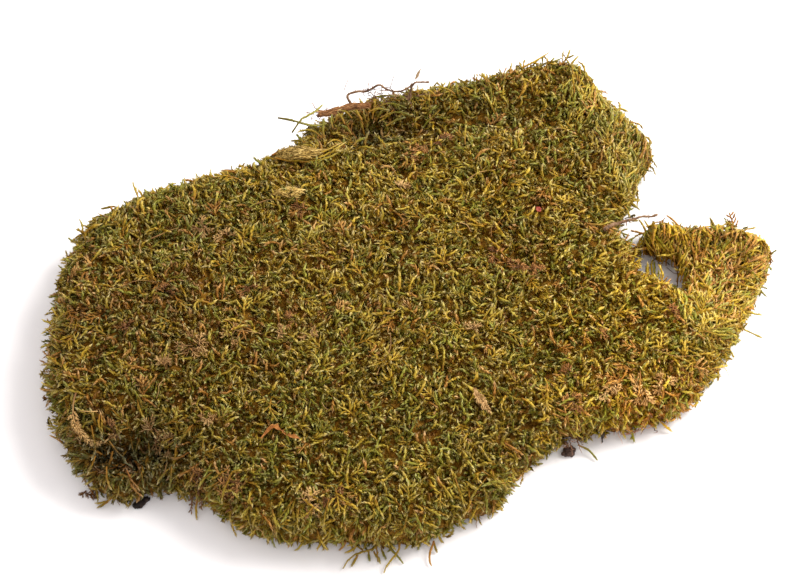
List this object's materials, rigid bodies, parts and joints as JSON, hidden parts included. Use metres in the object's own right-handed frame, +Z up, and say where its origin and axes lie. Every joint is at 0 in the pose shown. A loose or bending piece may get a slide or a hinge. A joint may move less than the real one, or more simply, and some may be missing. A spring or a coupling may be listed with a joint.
{
  "type": "moss clump",
  "caption": "Torn, roughly oval piece of carpet moss lying flat, thick at one end with a thin flap at the other, with twigs and leaf scraps caught in it.",
  "frame": {"origin": "centre of the bounding box's bottom face, on the floor", "axes": "+Z up from the flat resting face, +X along the longest side towards the thin flap, +Y towards the raised back rim"},
  "size_m": [0.2974, 0.2228, 0.0391],
  "materials": {
    "moss": "soft, rough mass of fine olive-gold and green shoots",
    "rotten_wood": "dry, crumbling red-brown wood",
    "dark_stem_bark": "dull dark bark",
    "stray_shoot_green": "soft green, leafy",
    "green_straw": "satin straw-green stem",
    "dead_straw": "dry, pale, fibrous",
    "dry_leaf": "dry, veined, matt",
    "orange_leaf": "dry, torn, matt",
    "black_bark": "black, fissured, matt",
    "dark_soil": "crumbly humus with fine roots"
  },
  "bodies": {
    "root": {"moss_mat": "moss", "rotten_twig": "rotten_wood", "wiry_stem": "dark_stem_bark", "forked_stem": "dark_stem_bark", "dry_leaf_tip": "dry_leaf", "stray_shoot_long": "stray_shoot_green", "stray_shoot_short": "stray_shoot_green", "dead_grass_wisp": "dead_straw", "dead_moss_wisp": "dead_straw", "loose_dark_stem": "dark_stem_bark", "leaf_scrap": "dry_leaf", "orange_leaf_shred": "orange_leaf", "pale_dead_sprig": "dead_straw", "bark_chip": "black_bark", "soil_crumb": "dark_soil", "bark_splinter": "black_bark", "straw_stem": "green_straw"}
  },
  "joints": []
}
